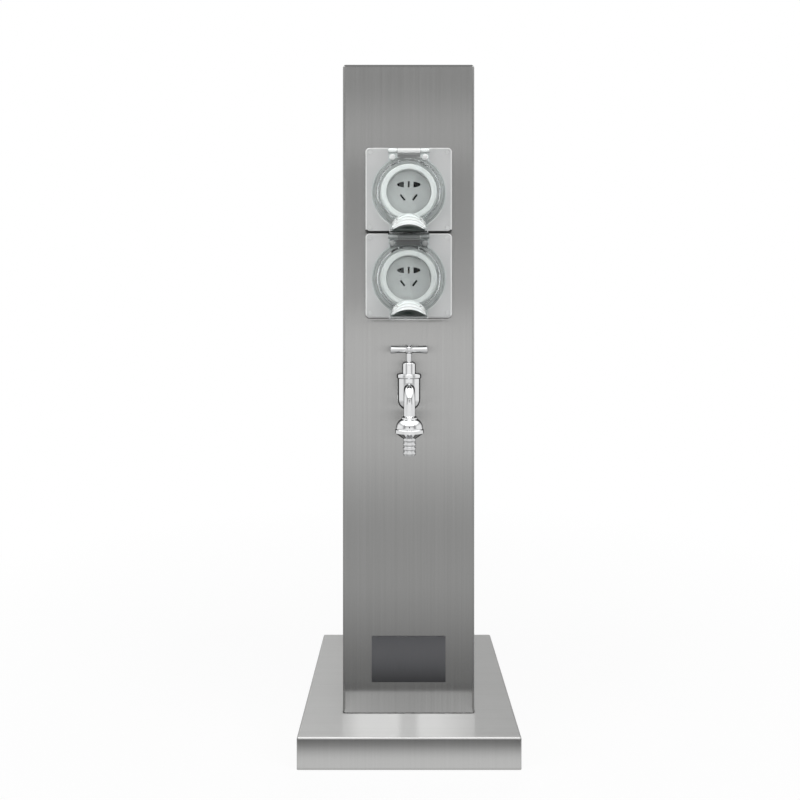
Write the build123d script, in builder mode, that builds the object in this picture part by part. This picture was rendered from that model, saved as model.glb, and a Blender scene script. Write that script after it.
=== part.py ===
from build123d import *
import os

# Garden socket post: a square steel column with two lidded sockets and a tap, on a covered foot.
# The origin is the middle of the foot on the ground, +Z is up, and the front faces -Y.
# "Out" is the distance in front of the column's front face.

os.makedirs("parts", exist_ok=True)

# Shared by every cut that has to run past a face
overrun = 1.0
# Fits between pieces that don't move on each other, and between those that turn or slide
seat_gap = 0.1
running_gap = 0.05

# Column
column_width = 133.0
column_height = 680.2
column_wall = 1.5
column_corner = 3.0
cap_depth = 6.0
socket_hole_radius = 23.0

# Foot plate and its anchor holes
foot_inset = 7.3
foot_thickness = 5.0
foot_corner = 6.0
foot_opening_radius = 50.0
anchor_inset = 16.0
anchor_radius = 6.0

# Slip-on base cover
cover_width = 213.0
cover_height = 30.4
cover_wall = 1.2
cover_corner = 1.8
cover_gap = 0.4

# Nameplate
nameplate_width = 74.3
nameplate_height = 46.0
nameplate_thickness = 0.8
nameplate_corner = 0.8
nameplate_bottom = 62.0

# Earth point on the foot plate
earth_stud_radius = 3.0
earth_stud_length = 18.0
earth_nut_radius = 5.8
earth_nut_height = 5.0
hexagon_sides = 6
earth_inset = 20.0

# Socket plates
sockets_drop = 171.9
plate_gap = 1.2
plate_width = 86.0
plate_height = 84.0
plate_front = 9.0
plate_corner = 4.0
plate_bevel = 1.2
gasket_thickness = 1.2
gasket_overhang = 0.5
screw_inset_x = 4.5
screw_inset_z = 4.7
screw_radius = 1.6
screw_head_radius = 2.2
screw_head_height = 1.8
screw_head_chamfer = 0.45
screw_head_recess = 1.5
screw_reach = 5.0
hinge_notch = 1.6

# Plug face, collar and seal, about the lid's centre
lid_drop = 3.0
collar_radius = 27.2
collar_bore = 22.0
collar_front = 14.5
collar_round = 1.1
collar_flange_width = 2.8
collar_flange_thickness = 3.0
insert_radius = 21.8
insert_front = 8.5
insert_face_thickness = 2.5
insert_skirt_wall = 2.0
insert_skirt_depth = 6.0
insert_flange_radius = 24.0
insert_flange_thickness = 1.4
seal_collar_gap = 1.2
seal_inset = 0.8
seal_thickness = 1.2

# Slots in the plug face
row_height = 8.25
slot_height = 6.5
slot_width = 2.0
oval_start = 4.8
oval_length = 6.9
slant_length = 7.1
slant_angle = 53.0
slant_x = 6.15
slant_drop = 4.55

# Safety shutter
shutter_radius = 16.4
shutter_thickness = 2.2
shutter_travel = 3.0
shutter_gap = 0.4
blade_x = 6.35
blade_window_width = 2.4
blade_window_margin = 0.5

# Rear housing, contacts and wire clamps
housing_radius = 19.6
housing_depth = 27.0
pocket_width = 9.5
pocket_height = 20.0
pocket_middle_x = 8.25
pocket_rise = 2.0
pocket_depth = 22.0
earth_pocket_width = 4.6
earth_pocket_height = 10.0
contact_thickness = 0.8
contact_margin = 0.4
leaf_length = 16.0
leaf_opening = 1.2
leaf_height = 7.0
slant_leaf_length = 3.5
terminal_radius = 3.0
terminal_height = 3.2
terminal_slot_width = 0.8
terminal_slot_depth = 1.2
terminal_spread = 11.0
terminal_count = 3
terminal_start = 90.0

# Lid
lid_margin = 5.0
lid_rim_width = 3.6
lid_slope_width = 5.6
lid_wall = 1.7
lid_gap = 0.3
lid_rim_thickness = 1.7
lid_front = 18.5
lid_face_rise = 0.6
lid_face_half_share = 0.25
neck_width = 40.5
neck_thickness = 3.4
barrel_radius = 2.2
hinge_pin_radius = 1.0
window_width = 22.8
window_drop = 8.8
knuckle_side_gap = 0.3
boss_radius = 3.3
boss_height = 1.3
boss_spacing = 32.4
boss_drop = 6.1
tab_width = 38.2
tab_overhang = 1.3
tab_rise = 14.0

# Pull hood on the lid's tab
hood_base = 0.6
hood_front = 20.2
hood_back = 16.6
hood_back_width = 37.0
hood_back_rise = 17.0
hood_front_width = 35.0
hood_front_rise = 7.6
hood_recess_width = 32.0
hood_recess_rise = 6.3
hood_recess_depth = 3.2

# Tap body, with its heights counted from the inlet's middle
tap_drop = 163.8
shank_radius = 10.48
shank_reach = 25.0
tap_hole_gap = 0.3
tap_washer_radius = 11.5
tap_washer_thickness = 2.0
tap_collar_radius = 11.4
tap_collar_thickness = 3.0
spindle_out = 30.0
barrel_body_radius = 10.8
barrel_body_rise = 19.9
water_bore = 5.0
seat_rise = 7.0
seat_bore = 4.6
chamber_radius = 8.0
spout_out = 62.0
spout_radius = 5.25
spout_bore = 3.6
spout_rise = 11.5
spout_bend = 13.0
flare_drop = 12.5
flare_length = 2.5
flare_radius = 7.1
bell_radius = 12.2
bell_height = 8.9
bell_out_share = 0.75
bell_down_share = 0.4
outlet_thread_radius = 10.3

# Bonnet, gland and spindle
bonnet_flange_radius = 11.8
bonnet_flange_height = 4.8
bonnet_round = 1.4
bonnet_plug_depth = 2.5
bonnet_neck_radius = 5.2
bonnet_neck_height = 3.8
spindle_thread_radius = 4.0
spindle_thread_rise = 3.0
stem_radius = 2.45
gland_radius = 6.45
gland_height = 11.6
gland_wall = 1.1
gland_top = 4.4
gland_round = 3.4
packing_gap = 0.05
handle_rise = 47.8
hub_radius = 4.7
bar_length = 35.3
bar_neck_radius = 2.7
bar_tip_radius = 3.8
bar_tip_round = 0.9
handle_screw_radius = 1.6
handle_screw_reach = 4.0
handle_screw_head = 2.4
handle_screw_head_height = 0.6
handle_screw_chamfer = 0.25
hub_flat = 4.1

# Valve
valve_washer_radius = 6.4
valve_washer_thickness = 2.5
jumper_radius = 7.2
jumper_thickness = 2.5

# Hose union
nut_radius = 13.0
nut_gap = 0.4
nut_band_height = 3.4
nut_taper_height = 4.5
nut_foot_radius = 7.0
nut_top_chamfer = 0.5
nut_floor = 3.4
tail_bore = 4.0
tail_root_radius = 5.0
tail_ridge_radius = 5.83
tail_flange_radius = 9.6
tail_flange_thickness = 1.4
tail_length = 16.1
ridge_count = 4
ridge_land = 1.2
ridge_taper = 1.9
tail_washer_thickness = 1.2

# Back nut, elbow, riser and inlet
back_nut_radius = 15.0
back_nut_thickness = 6.0
elbow_radius = 13.2
elbow_out = -38.0
elbow_socket_depth = 10.0
elbow_leg = 26.0
riser_radius = 8.0
riser_bore = 6.5
riser_socket_depth = 14.0
inlet_bottom = 8.0
inlet_thread_length = 14.0
inlet_hex_radius = 13.0
inlet_hex_height = 8.0
inlet_socket_height = 10.0
inlet_socket_radius = 10.5

# Pipe clip
clip_height = 190.0
clip_width = 14.0
clip_wall = 2.0
clip_stem_thickness = 3.0
clip_foot_width = 24.0
clip_foot_thickness = 2.0

# Places worked out from the sizes above
column_front = -column_width / 2
column_top = foot_thickness + column_height
tube_top = column_top - cap_depth
inside_half = column_width / 2 - column_wall
foot_width = cover_width - 2 * (cover_wall + foot_inset)
anchor_spacing = foot_width - 2 * anchor_inset
sockets_middle = column_top - sockets_drop
tap_height = sockets_middle - tap_drop
socket_pitch = plate_height + plate_gap
plate_centres = {
    "upper": sockets_middle + socket_pitch / 2,
    "lower": sockets_middle - socket_pitch / 2,
}
screw_spacing_x = plate_width - 2 * screw_inset_x
screw_spacing_z = plate_height - 2 * screw_inset_z
lid_radius = plate_height / 2 - lid_margin
lid_bore = lid_radius - lid_rim_width
lid_face_radius = lid_radius - lid_slope_width
collar_flange_radius = collar_radius + collar_flange_width
seal_outer_radius = lid_radius - seal_inset
seal_inner_radius = collar_radius + seal_collar_gap
hinge_rise = plate_height / 2 - hinge_notch - barrel_radius
hinge_out = plate_front + lid_gap + barrel_radius + seat_gap
insert_back = insert_front - insert_face_thickness
shutter_front = insert_back - shutter_gap
shutter_back = shutter_front - shutter_thickness
housing_front = shutter_back - shutter_gap
riser_y = column_front - elbow_out
barrel_body_top = tap_height + barrel_body_rise
seat_height = tap_height + seat_rise
spout_height = tap_height + spout_rise
flare_top = tap_height - flare_drop
flare_foot = flare_top - flare_length
bell_foot = flare_foot - bell_height
handle_height = tap_height + handle_rise
nut_top = bell_foot - nut_gap
nut_band_bottom = nut_top - nut_band_height
nut_bottom = nut_band_bottom - nut_taper_height
nut_seat = nut_bottom + nut_floor
tail_flange_top = nut_seat + tail_flange_thickness
tail_end = nut_bottom - tail_length
spout_end = tail_flange_top + tail_washer_thickness


def front_plane(height, out=0):
    """A plane facing forward, with its own X to the right and its Y up."""
    return Plane(origin=(0, column_front - out, height), x_dir=(1, 0, 0), z_dir=(0, -1, 0))


def lathe_plane(height):
    """A plane for profiles turned about an axis that points forward: radius along X, out along Y."""
    return Plane(origin=(0, column_front, height), x_dir=(1, 0, 0), z_dir=(0, 0, -1))


def forward_axis(height):
    return Axis((0, column_front, height), (0, -1, 0))


def upright_plane(out):
    """A plane for profiles turned about an upright axis: radius along X, height along Y."""
    return Plane(origin=(0, column_front - out, 0), x_dir=(1, 0, 0), z_dir=(0, -1, 0))


def upright_axis(out):
    return Axis((0, column_front - out, 0), (0, 0, 1))


def save(piece, name):
    piece.part.label = name
    export_step(piece.part, f"parts/{name}.step")


def segment(width, rise):
    """An arch over a flat base that starts at the local origin."""
    with BuildSketch(mode=Mode.PRIVATE) as arch:
        with BuildLine():
            Line((-width / 2, 0), (width / 2, 0))
            ThreePointArc((width / 2, 0), (0, rise), (-width / 2, 0))
        make_face()
    return arch.sketch


# Column: a folded square tube, open at the foot
with BuildPart() as column_shell:
    with BuildSketch(Plane.XY.offset(foot_thickness)):
        RectangleRounded(column_width, column_width, column_corner)
        RectangleRounded(
            2 * inside_half, 2 * inside_half, column_corner - column_wall, mode=Mode.SUBTRACT
        )
    extrude(amount=column_height - cap_depth)
    for plate_z in plate_centres.values():
        with BuildSketch(front_plane(plate_z - lid_drop, overrun)):
            Circle(socket_hole_radius)
        extrude(amount=-column_wall - 2 * overrun, mode=Mode.SUBTRACT)
        with BuildSketch(front_plane(plate_z, overrun)):
            with GridLocations(screw_spacing_x, screw_spacing_z, 2, 2):
                Circle(screw_radius + running_gap)
        extrude(amount=-column_wall - 2 * overrun, mode=Mode.SUBTRACT)
    with BuildSketch(front_plane(tap_height, overrun)):
        Circle(shank_radius + tap_hole_gap)
    extrude(amount=-column_wall - 2 * overrun, mode=Mode.SUBTRACT)
save(column_shell, "column_shell")

# Cap: a pressed tray welded on the tube's top
with BuildPart() as column_cap:
    with BuildSketch(Plane.XY.offset(tube_top)):
        RectangleRounded(column_width, column_width, column_corner)
    extrude(amount=cap_depth)
    fillet(column_cap.faces().sort_by(Axis.Z)[-1].edges(), column_corner)
    offset(amount=-column_wall, openings=column_cap.faces().sort_by(Axis.Z)[0])
save(column_cap, "column_cap")

# Foot plate welded under the column
with BuildPart() as foot_flange:
    with BuildSketch():
        RectangleRounded(foot_width, foot_width, foot_corner)
        Circle(foot_opening_radius, mode=Mode.SUBTRACT)
        with GridLocations(anchor_spacing, anchor_spacing, 2, 2):
            Circle(anchor_radius, mode=Mode.SUBTRACT)
    extrude(amount=foot_thickness)
save(foot_flange, "foot_flange")

# Base cover: a skirted sheet that slides up the column
with BuildPart() as base_cover:
    with BuildSketch():
        RectangleRounded(cover_width, cover_width, cover_corner)
    extrude(amount=cover_height)
    fillet(base_cover.faces().sort_by(Axis.Z)[-1].edges(), cover_corner)
    offset(amount=-cover_wall, openings=base_cover.faces().sort_by(Axis.Z)[0])
    with BuildSketch(Plane.XY.offset(cover_height + overrun)):
        RectangleRounded(
            column_width + 2 * cover_gap, column_width + 2 * cover_gap, column_corner + cover_gap
        )
    extrude(amount=-cover_wall - 2 * overrun, mode=Mode.SUBTRACT)
save(base_cover, "base_cover")

# Nameplate, bare
with BuildPart() as nameplate:
    with BuildSketch(front_plane(nameplate_bottom + nameplate_height / 2)):
        RectangleRounded(nameplate_width, nameplate_height, nameplate_corner)
    extrude(amount=nameplate_thickness)
save(nameplate, "nameplate")

# Protective earth stud and nut, in a corner of the column's inside
earth_place = inside_half - earth_inset
with BuildPart() as earth_stud:
    with BuildSketch(Plane.XY.offset(foot_thickness)):
        with Locations((earth_place, earth_place)):
            Circle(earth_stud_radius)
    extrude(amount=earth_stud_length)
save(earth_stud, "earth_stud")
with BuildPart() as earth_nut:
    with BuildSketch(Plane.XY.offset(foot_thickness)):
        with Locations((earth_place, earth_place)):
            RegularPolygon(earth_nut_radius, hexagon_sides)
            Circle(earth_stud_radius + running_gap, mode=Mode.SUBTRACT)
    extrude(amount=earth_nut_height)
save(earth_nut, "earth_nut")


def make_plate(unit, plate_z):
    """The square plate, with its opening, seal groove, screw holes, hinge notch and middle knuckle."""
    centre_z = plate_z - lid_drop
    hinge_z = plate_z + hinge_rise
    with BuildPart() as frame_plate:
        with BuildSketch(front_plane(plate_z, gasket_thickness)):
            RectangleRounded(plate_width, plate_height, plate_corner)
        extrude(amount=plate_front - gasket_thickness)
        chamfer(frame_plate.faces().sort_by(Axis.Y)[0].edges(), plate_bevel)
        # Hinge notch in the top edge
        with BuildSketch(front_plane(plate_z + plate_height / 2, plate_front + overrun)):
            Rectangle(neck_width + 2 * knuckle_side_gap, 2 * hinge_notch)
        extrude(amount=-plate_front - 2 * overrun, mode=Mode.SUBTRACT)
        # Middle knuckle on a web
        knuckle_width = window_width - 2 * knuckle_side_gap
        with BuildSketch(Plane.YZ.offset(-knuckle_width / 2)):
            with Locations((column_front - hinge_out, hinge_z)):
                Circle(barrel_radius)
            with Locations((column_front - (plate_front - overrun + hinge_out) / 2, hinge_z)):
                Rectangle(hinge_out - plate_front + overrun, barrel_radius)
            with Locations((column_front - hinge_out, hinge_z)):
                Circle(hinge_pin_radius + running_gap, mode=Mode.SUBTRACT)
        extrude(amount=knuckle_width)
        # Opening, step for the collar's flange and groove for the seal
        with BuildSketch(front_plane(centre_z, plate_front + overrun)):
            Circle(collar_radius + seat_gap)
        extrude(amount=-plate_front - 2 * overrun, mode=Mode.SUBTRACT)
        with BuildSketch(front_plane(centre_z, collar_flange_thickness + seat_gap)):
            Circle(collar_flange_radius + seat_gap)
        extrude(amount=-collar_flange_thickness, mode=Mode.SUBTRACT)
        with BuildSketch(front_plane(centre_z, plate_front + overrun)):
            Circle(seal_outer_radius + seat_gap)
            Circle(seal_inner_radius - seat_gap, mode=Mode.SUBTRACT)
        extrude(amount=-seal_thickness - overrun, mode=Mode.SUBTRACT)
        # Screw holes with a recess for each head
        with BuildSketch(front_plane(plate_z, plate_front + overrun)):
            with GridLocations(screw_spacing_x, screw_spacing_z, 2, 2):
                Circle(screw_radius + running_gap)
        extrude(amount=-plate_front - 2 * overrun, mode=Mode.SUBTRACT)
        with BuildSketch(front_plane(plate_z, plate_front + overrun)):
            with GridLocations(screw_spacing_x, screw_spacing_z, 2, 2):
                Circle(screw_head_radius + running_gap)
        extrude(amount=-screw_head_recess - overrun, mode=Mode.SUBTRACT)
    save(frame_plate, f"frame_plate_{unit}")


def make_gasket(unit, plate_z):
    with BuildPart() as plate_gasket:
        with BuildSketch(front_plane(plate_z)):
            RectangleRounded(
                plate_width + 2 * gasket_overhang,
                plate_height + 2 * gasket_overhang,
                plate_corner + gasket_overhang,
            )
            with Locations((0, -lid_drop)):
                Circle(collar_flange_radius + seat_gap, mode=Mode.SUBTRACT)
            with GridLocations(screw_spacing_x, screw_spacing_z, 2, 2):
                Circle(screw_radius + running_gap, mode=Mode.SUBTRACT)
        extrude(amount=gasket_thickness)
    save(plate_gasket, f"plate_gasket_{unit}")


def make_screws(unit, plate_z):
    """Four corner screws, each with a domed head."""
    shank_end = -screw_reach
    head_seat = plate_front - screw_head_recess
    with BuildPart() as plate_screws:
        with BuildSketch(front_plane(plate_z, head_seat)):
            with GridLocations(screw_spacing_x, screw_spacing_z, 2, 2):
                Circle(screw_head_radius)
        extrude(amount=screw_head_height)
        chamfer(plate_screws.faces().group_by(Axis.Y)[0].edges(), screw_head_chamfer)
        with BuildSketch(front_plane(plate_z, shank_end)):
            with GridLocations(screw_spacing_x, screw_spacing_z, 2, 2):
                Circle(screw_radius)
        extrude(amount=head_seat - shank_end)
    save(plate_screws, f"plate_screws_{unit}")


def make_collar(unit, centre_z):
    with BuildPart() as collar:
        with BuildSketch(lathe_plane(centre_z)):
            with BuildLine():
                Polyline(
                    (insert_flange_radius + seat_gap, 0),
                    (collar_flange_radius, 0),
                    (collar_flange_radius, collar_flange_thickness),
                    (collar_radius, collar_flange_thickness),
                    (collar_radius, collar_front),
                    (collar_bore, collar_front),
                    (collar_bore, insert_flange_thickness + seat_gap),
                    (insert_flange_radius + seat_gap, insert_flange_thickness + seat_gap),
                    close=True,
                )
            make_face()
        revolve(axis=forward_axis(centre_z))
        fillet(collar.edges().group_by(Axis.Y)[0], collar_round)
    save(collar, f"collar_{unit}")


def make_insert(unit, centre_z):
    """The plug face: two half-oval slots and an earth slot in a row, over two slanted slots."""
    with BuildPart() as socket_insert:
        with BuildSketch(front_plane(centre_z, insert_front)):
            Circle(insert_radius)
        extrude(amount=-insert_front - insert_skirt_depth)
        with BuildSketch(front_plane(centre_z)):
            Circle(insert_flange_radius)
        extrude(amount=insert_flange_thickness)
        with BuildSketch(front_plane(centre_z, insert_back)):
            Circle(insert_radius - insert_skirt_wall)
        extrude(amount=-insert_back - insert_skirt_depth - overrun, mode=Mode.SUBTRACT)
        with BuildSketch(front_plane(centre_z, insert_front + overrun)):
            with Locations((0, row_height)):
                Ellipse(oval_start + oval_length, slot_height / 2)
                Rectangle(2 * oval_start, slot_height, mode=Mode.SUBTRACT)
                Rectangle(slot_width, slot_height)
            with Locations(Location((-slant_x, -slant_drop), -slant_angle)):
                Rectangle(slant_length, slot_width)
            with Locations(Location((slant_x, -slant_drop), slant_angle)):
                Rectangle(slant_length, slot_width)
        extrude(amount=-insert_face_thickness - 2 * overrun, mode=Mode.SUBTRACT)
    save(socket_insert, f"socket_insert_{unit}")


def make_shutter(unit, centre_z):
    """A round shutter whose windows line up with the slots once it has slid to the left."""
    window_height = slot_height + 2 * blade_window_margin
    with BuildPart() as shutter:
        with BuildSketch(front_plane(centre_z, shutter_back)):
            Circle(shutter_radius)
            with Locations((0, row_height)):
                Rectangle(slot_width + 2 * shutter_travel, window_height, mode=Mode.SUBTRACT)
            with Locations((shutter_travel - blade_x, row_height), (shutter_travel + blade_x, row_height)):
                Rectangle(blade_window_width, window_height, mode=Mode.SUBTRACT)
            with Locations(Location((shutter_travel - slant_x, -slant_drop), -slant_angle)):
                Rectangle(slant_length, blade_window_width, mode=Mode.SUBTRACT)
            with Locations(Location((shutter_travel + slant_x, -slant_drop), slant_angle)):
                Rectangle(slant_length, blade_window_width, mode=Mode.SUBTRACT)
        extrude(amount=shutter_thickness)
    save(shutter, f"shutter_{unit}")


def make_housing(unit, centre_z):
    """The insulating block behind the face, with a pocket for each contact."""
    with BuildPart() as rear_housing:
        with BuildSketch(front_plane(centre_z, -housing_depth)):
            Circle(housing_radius)
        extrude(amount=housing_depth + housing_front)
        with BuildSketch(front_plane(centre_z, housing_front)):
            with Locations((-pocket_middle_x, pocket_rise), (pocket_middle_x, pocket_rise)):
                Rectangle(pocket_width, pocket_height)
            with Locations((0, row_height)):
                Rectangle(earth_pocket_width, earth_pocket_height)
        extrude(amount=-pocket_depth, mode=Mode.SUBTRACT)
    save(rear_housing, f"rear_housing_{unit}")


def make_contacts(unit, centre_z):
    """Live, neutral and earth: each a brass base with a pair of leaves that grips a blade."""
    pocket_floor = housing_front - pocket_depth
    with BuildPart() as contact_set:
        with BuildSketch(front_plane(centre_z, pocket_floor)):
            with Locations((-pocket_middle_x, pocket_rise), (pocket_middle_x, pocket_rise)):
                Rectangle(pocket_width - 2 * contact_margin, pocket_height - 2 * contact_margin)
            with Locations((0, row_height)):
                Rectangle(
                    earth_pocket_width - 2 * contact_margin, earth_pocket_height - 2 * contact_margin
                )
        extrude(amount=contact_thickness)
        with BuildSketch(front_plane(centre_z, pocket_floor)):
            for blade in (-blade_x, 0, blade_x):
                with Locations((blade - leaf_opening, row_height), (blade + leaf_opening, row_height)):
                    Rectangle(contact_thickness, leaf_height)
            for side in (-1, 1):
                with Locations(Location((side * slant_x, -slant_drop), side * slant_angle)):
                    with Locations((0, -leaf_opening), (0, leaf_opening)):
                        Rectangle(slant_leaf_length, contact_thickness)
        extrude(amount=leaf_length)
    save(contact_set, f"contact_set_{unit}")


def make_terminals(unit, centre_z):
    """Three slotted clamp screws at the back of the housing."""
    with BuildPart() as terminal_screws:
        with BuildSketch(front_plane(centre_z, -housing_depth)):
            with PolarLocations(terminal_spread, terminal_count, start_angle=terminal_start):
                Circle(terminal_radius)
        extrude(amount=-terminal_height)
        with BuildSketch(front_plane(centre_z, -housing_depth - terminal_height)):
            with PolarLocations(
                terminal_spread, terminal_count, start_angle=terminal_start, rotate=False
            ):
                Rectangle(2 * terminal_radius + overrun, terminal_slot_width)
        extrude(amount=terminal_slot_depth, mode=Mode.SUBTRACT)
    save(terminal_screws, f"terminal_screws_{unit}")


def make_seal(unit, centre_z):
    with BuildPart() as lid_seal:
        with BuildSketch(front_plane(centre_z, plate_front - seal_thickness)):
            Circle(seal_outer_radius)
            Circle(seal_inner_radius, mode=Mode.SUBTRACT)
        extrude(amount=seal_thickness)
    save(lid_seal, f"lid_seal_{unit}")


def make_pin(unit, plate_z):
    with BuildPart() as hinge_pin:
        with BuildSketch(Plane.YZ.offset(-neck_width / 2)):
            with Locations((column_front - hinge_out, plate_z + hinge_rise)):
                Circle(hinge_pin_radius)
        extrude(amount=neck_width)
    save(hinge_pin, f"hinge_pin_{unit}")


def make_lid(unit, plate_z):
    """The clear lid: a shallow dish with a hinged neck above and a tab with a pull hood below."""
    centre_z = plate_z - lid_drop
    hinge_z = plate_z + hinge_rise
    rim_back = plate_front + lid_gap
    rim_front = rim_back + lid_rim_thickness
    tab_bottom = plate_z - plate_height / 2 - tab_overhang
    hood_z = plate_z - plate_height / 2 + hood_base
    with BuildPart() as lid:
        # Dish, turned from the rim to a slightly domed face
        with BuildSketch(lathe_plane(centre_z)):
            with BuildLine():
                Polyline(
                    (0, rim_back),
                    (lid_radius, rim_back),
                    (lid_radius, rim_front),
                    (lid_bore + lid_wall, rim_front),
                    (lid_face_radius, lid_front - lid_face_rise),
                )
                ThreePointArc(
                    (lid_face_radius, lid_front - lid_face_rise),
                    (lid_face_radius / 2, lid_front - lid_face_rise * lid_face_half_share),
                    (0, lid_front),
                )
                Line((0, lid_front), (0, rim_back))
            make_face()
        revolve(axis=forward_axis(centre_z))
        # Neck up to the hinge, and the tab down past the plate's edge
        with BuildSketch(front_plane((centre_z + hinge_z) / 2, rim_back)):
            Rectangle(neck_width, hinge_z - centre_z)
        extrude(amount=neck_thickness)
        with BuildSketch(front_plane(tab_bottom + tab_rise / 2, rim_back)):
            Rectangle(tab_width, tab_rise)
        extrude(amount=neck_thickness)
        # Outer hood: a big arch behind drawn in to a low arch in front
        with BuildSketch(front_plane(hood_z, hood_back)):
            add(segment(hood_back_width, hood_back_rise))
        with BuildSketch(front_plane(hood_z, hood_front)):
            add(segment(hood_front_width, hood_front_rise))
        loft()
        with BuildSketch(front_plane(hood_z, hood_back)):
            add(segment(hood_back_width, hood_back_rise))
        extrude(amount=-(hood_back - rim_back))
        # Hinge barrel with two bosses under it, then the window between them
        with BuildSketch(Plane.YZ.offset(-neck_width / 2)):
            with Locations((column_front - hinge_out, hinge_z)):
                Circle(barrel_radius)
        extrude(amount=neck_width)
        with BuildSketch(front_plane(hinge_z - boss_drop, rim_back)):
            with Locations((-boss_spacing / 2, 0), (boss_spacing / 2, 0)):
                Circle(boss_radius)
        extrude(amount=neck_thickness + boss_height)
        window_top = barrel_radius + overrun
        with BuildSketch(front_plane(hinge_z + (window_top - window_drop) / 2, lid_front)):
            Rectangle(window_width, window_top + window_drop)
        extrude(amount=-(lid_front - rim_back) - overrun, mode=Mode.SUBTRACT)
        with BuildSketch(Plane.YZ.offset(-neck_width / 2 - overrun)):
            with Locations((column_front - hinge_out, hinge_z)):
                Circle(hinge_pin_radius + running_gap)
        extrude(amount=neck_width + 2 * overrun, mode=Mode.SUBTRACT)
        # The dish's inside, and the finger recess under the hood
        with BuildSketch(lathe_plane(centre_z)):
            with BuildLine():
                Polyline(
                    (0, rim_back - overrun),
                    (lid_bore, rim_back - overrun),
                    (lid_bore, rim_front),
                    (lid_face_radius - lid_wall, lid_front - lid_wall - lid_face_rise),
                    (0, lid_front - lid_wall),
                    close=True,
                )
            make_face()
        revolve(axis=forward_axis(centre_z), mode=Mode.SUBTRACT)
        with BuildSketch(front_plane(hood_z + hood_base, hood_front + overrun)):
            add(segment(hood_recess_width, hood_recess_rise))
        extrude(amount=-hood_recess_depth - overrun, mode=Mode.SUBTRACT)
    save(lid, f"lid_{unit}")


for unit, plate_z in plate_centres.items():
    make_plate(unit, plate_z)
    make_gasket(unit, plate_z)
    make_screws(unit, plate_z)
    make_pin(unit, plate_z)
    make_lid(unit, plate_z)
    for make_piece in (
        make_collar,
        make_insert,
        make_shutter,
        make_housing,
        make_contacts,
        make_terminals,
        make_seal,
    ):
        make_piece(unit, plate_z - lid_drop)

# Tap body: shank, upright chamber and a spout that bends down to the hose union
with BuildPart() as tap_body:
    with BuildSketch(front_plane(tap_height, -shank_reach)):
        Circle(shank_radius)
    extrude(amount=shank_reach + spindle_out)
    with BuildSketch(front_plane(tap_height, tap_washer_thickness)):
        Circle(tap_collar_radius)
    extrude(amount=tap_collar_thickness)
    with BuildSketch(upright_plane(spindle_out)):
        with BuildLine():
            Line((0, tap_height - barrel_body_radius), (0, barrel_body_top))
            Line((0, barrel_body_top), (barrel_body_radius, barrel_body_top))
            Line((barrel_body_radius, barrel_body_top), (barrel_body_radius, tap_height))
            RadiusArc(
                (barrel_body_radius, tap_height),
                (0, tap_height - barrel_body_radius),
                barrel_body_radius,
            )
        make_face()
    revolve(axis=upright_axis(spindle_out))
    spout_start = (0, column_front - spindle_out, spout_height)
    spout_corner = (0, column_front - spout_out, spout_height)
    spout_foot = (0, column_front - spout_out, flare_foot)
    with BuildLine():
        FilletPolyline(spout_start, spout_corner, spout_foot, radius=spout_bend)
    with BuildSketch(front_plane(spout_height, spindle_out)):
        Circle(spout_radius)
    sweep()
    # Flare, bell and outlet thread, turned about the spout
    with BuildSketch(upright_plane(spout_out)):
        with BuildLine():
            Polyline(
                (0, flare_top),
                (spout_radius, flare_top),
                (flare_radius, (flare_top + flare_foot) / 2),
                (flare_radius, flare_foot),
            )
            ThreePointArc(
                (flare_radius, flare_foot),
                (
                    flare_radius + (bell_radius - flare_radius) * bell_out_share,
                    flare_foot - bell_height * bell_down_share,
                ),
                (bell_radius, bell_foot),
            )
            Polyline(
                (bell_radius, bell_foot),
                (outlet_thread_radius, bell_foot),
                (outlet_thread_radius, spout_end),
                (0, spout_end),
                (0, flare_top),
            )
        make_face()
    revolve(axis=upright_axis(spout_out))
    # Water way: shank bore, seat, chamber and spout bore
    with BuildSketch(front_plane(tap_height, -shank_reach - overrun)):
        Circle(water_bore)
    extrude(amount=shank_reach + spindle_out + overrun, mode=Mode.SUBTRACT)
    with BuildSketch(Plane.XY.offset(tap_height)):
        with Locations((0, column_front - spindle_out)):
            Circle(seat_bore)
    extrude(amount=seat_height - tap_height + overrun, mode=Mode.SUBTRACT)
    with BuildSketch(Plane.XY.offset(seat_height)):
        with Locations((0, column_front - spindle_out)):
            Circle(chamber_radius)
    extrude(amount=barrel_body_top - seat_height + overrun, mode=Mode.SUBTRACT)
    with BuildLine():
        FilletPolyline(
            spout_start,
            spout_corner,
            (0, column_front - spout_out, spout_end - overrun),
            radius=spout_bend,
        )
    with BuildSketch(front_plane(spout_height, spindle_out)):
        Circle(spout_bore)
    sweep(mode=Mode.SUBTRACT)
save(tap_body, "tap_body")

# Washer outside the column and hexagon nut inside it
with BuildPart() as tap_washer:
    with BuildSketch(front_plane(tap_height)):
        Circle(tap_washer_radius)
        Circle(shank_radius + seat_gap, mode=Mode.SUBTRACT)
    extrude(amount=tap_washer_thickness)
save(tap_washer, "tap_washer")
with BuildPart() as tap_back_nut:
    with BuildSketch(front_plane(tap_height, -column_wall)):
        RegularPolygon(back_nut_radius, hexagon_sides)
        Circle(shank_radius + running_gap, mode=Mode.SUBTRACT)
    extrude(amount=-back_nut_thickness)
save(tap_back_nut, "tap_back_nut")

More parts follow.
